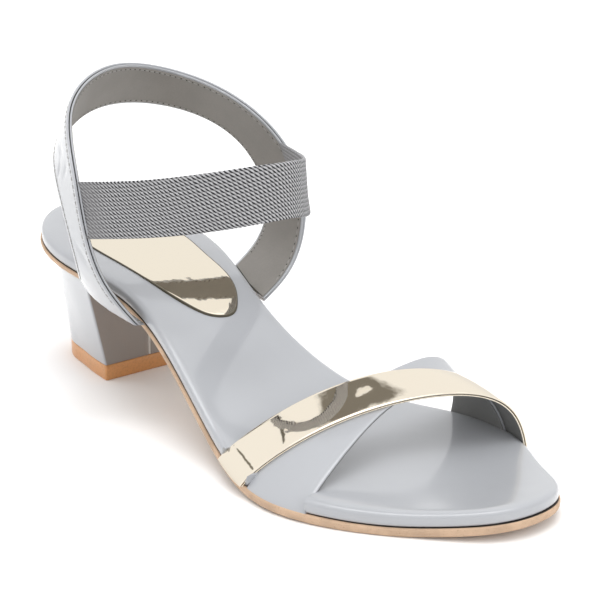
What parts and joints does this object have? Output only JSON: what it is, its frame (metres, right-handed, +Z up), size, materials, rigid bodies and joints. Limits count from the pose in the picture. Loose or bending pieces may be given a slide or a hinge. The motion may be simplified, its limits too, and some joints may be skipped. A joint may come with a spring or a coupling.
{
  "type": "slingback_block_heel_sandal",
  "caption": "Light grey patent block heel sandal with crossed grey and gold foil vamp straps, a patent sling band, a woven elastic over the instep and a gold foil heel insert.",
  "frame": {"origin": "on the floor under the middle of the whole shoe's bounding box", "axes": "+X points to the toe, +Y to the inner (medial) side of this right shoe, +Z is up"},
  "size_m": [0.2432, 0.0944, 0.1135],
  "materials": {
    "sole": "tan fibre sole sheet with a cut edge",
    "patent": "light grey patent, high gloss",
    "foil": "pale gold mirror foil on a backing",
    "lift": "orange tan top lift",
    "elastic": "grey woven elastic, matt"
  },
  "bodies": {
    "root": {"outsole": "sole", "footbed": "patent", "heel_sock": "foil", "heel": "patent", "top_lift": "lift", "vamp": "patent", "slingback_band": "patent", "elastic": "elastic"}
  },
  "joints": []
}
